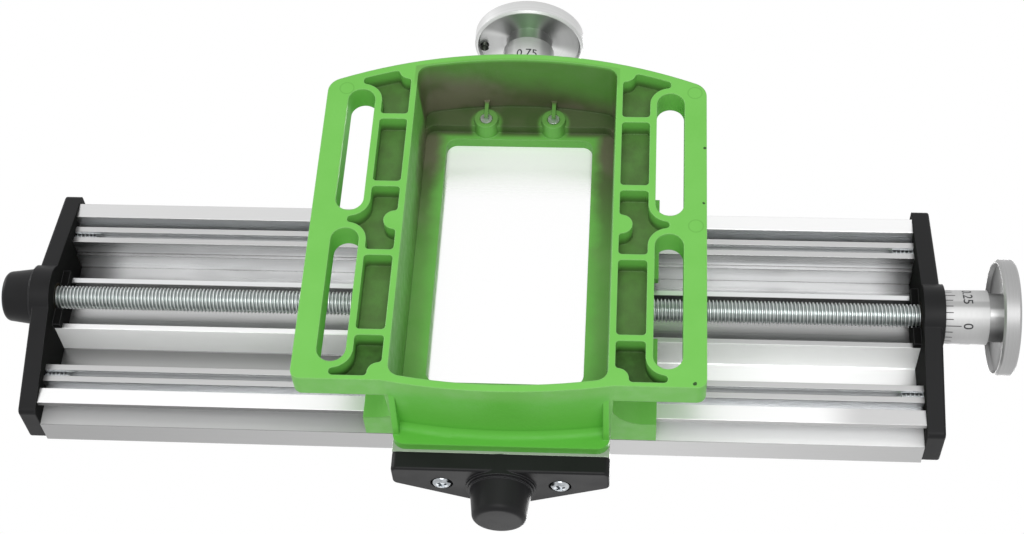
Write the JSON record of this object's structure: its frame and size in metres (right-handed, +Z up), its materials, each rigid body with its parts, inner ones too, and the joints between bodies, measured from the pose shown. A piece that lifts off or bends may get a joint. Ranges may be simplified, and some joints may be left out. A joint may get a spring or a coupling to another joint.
{
  "type": "cross slide table",
  "caption": "Low cross slide table: slotted cast base, saddle and T-slotted extruded table, moved by leadscrews with dials and handwheels.",
  "frame": {"origin": "middle of the base footprint, on its underside", "axes": "+X along the long table towards its handwheel, -Y towards the cross slide's handwheel, +Z up to the table top"},
  "size_m": [0.3469, 0.1983, 0.0785],
  "materials": {
    "green_casting": "satin powder coat",
    "extruded_aluminium": "mill finish",
    "black_plastic": "moulded, satin",
    "zinc_leadscrew": "zinc plated thread",
    "turned_aluminium": "fine turned",
    "brass": "machined",
    "zinc_fastener": "zinc plated"
  },
  "bodies": {
    "base": {"base_casting": "green_casting", "rail_screws": "zinc_fastener", "y_rail": "extruded_aluminium", "y_front_plate": "black_plastic", "y_back_plate": "black_plastic", "y_front_plate_screws": "zinc_fastener", "y_back_plate_screws": "zinc_fastener", "y_front_bush": "brass", "y_back_bush": "brass", "y_end_cap": "black_plastic"},
    "saddle": {"saddle_casting": "green_casting", "x_nut": "brass", "x_nut_screws": "zinc_fastener", "y_nut": "brass", "y_nut_screws": "zinc_fastener", "x_gib_strip": "brass", "x_gib_screws": "zinc_fastener", "y_gib_strip": "brass", "y_gib_screws": "zinc_fastener"},
    "table": {"x_table": "extruded_aluminium", "x_left_plate": "black_plastic", "x_right_plate": "black_plastic", "x_left_plate_screws": "zinc_fastener", "x_right_plate_screws": "zinc_fastener", "x_left_bush": "brass", "x_right_bush": "brass", "x_end_cap": "black_plastic"},
    "y_screw": {"y_leadscrew": "zinc_leadscrew", "y_dial": "turned_aluminium", "y_handwheel": "turned_aluminium", "y_thrust_washer": "zinc_fastener", "y_retaining_nut": "zinc_fastener", "y_wheel_washer": "zinc_fastener", "y_wheel_screw": "zinc_fastener"},
    "x_screw": {"x_leadscrew": "zinc_leadscrew", "x_dial": "turned_aluminium", "x_handwheel": "turned_aluminium", "x_thrust_washer": "zinc_fastener", "x_retaining_nut": "zinc_fastener", "x_wheel_washer": "zinc_fastener", "x_wheel_screw": "zinc_fastener"}
  },
  "joints": [
    {"name": "cross_slide", "type": "slide", "parent": "base", "child": "saddle", "axis": [0, 1, 0], "range_m": [-0.028, 0.022]},
    {"name": "long_slide", "type": "slide", "parent": "saddle", "child": "table", "axis": [1, 0, 0], "range_m": [-0.08735, 0.11065]},
    {"name": "cross_handwheel_turn", "type": "hinge", "parent": "base", "child": "y_screw", "pos_m": [0, 0, 0.0423], "axis": [0, 1, 0], "range_deg": [-6336.6, 8064.6]},
    {"name": "long_handwheel_turn", "type": "hinge", "parent": "table", "child": "x_screw", "pos_m": [-0.01165, 0, 0.05877], "axis": [1, 0, 0], "range_deg": [-25158, 31868.4]}
  ],
  "couplings": [
    {"joint": "cross_handwheel_turn", "follows": "cross_slide", "rad_per_m": -5026.5},
    {"joint": "long_handwheel_turn", "follows": "long_slide", "rad_per_m": 5026.5}
  ]
}
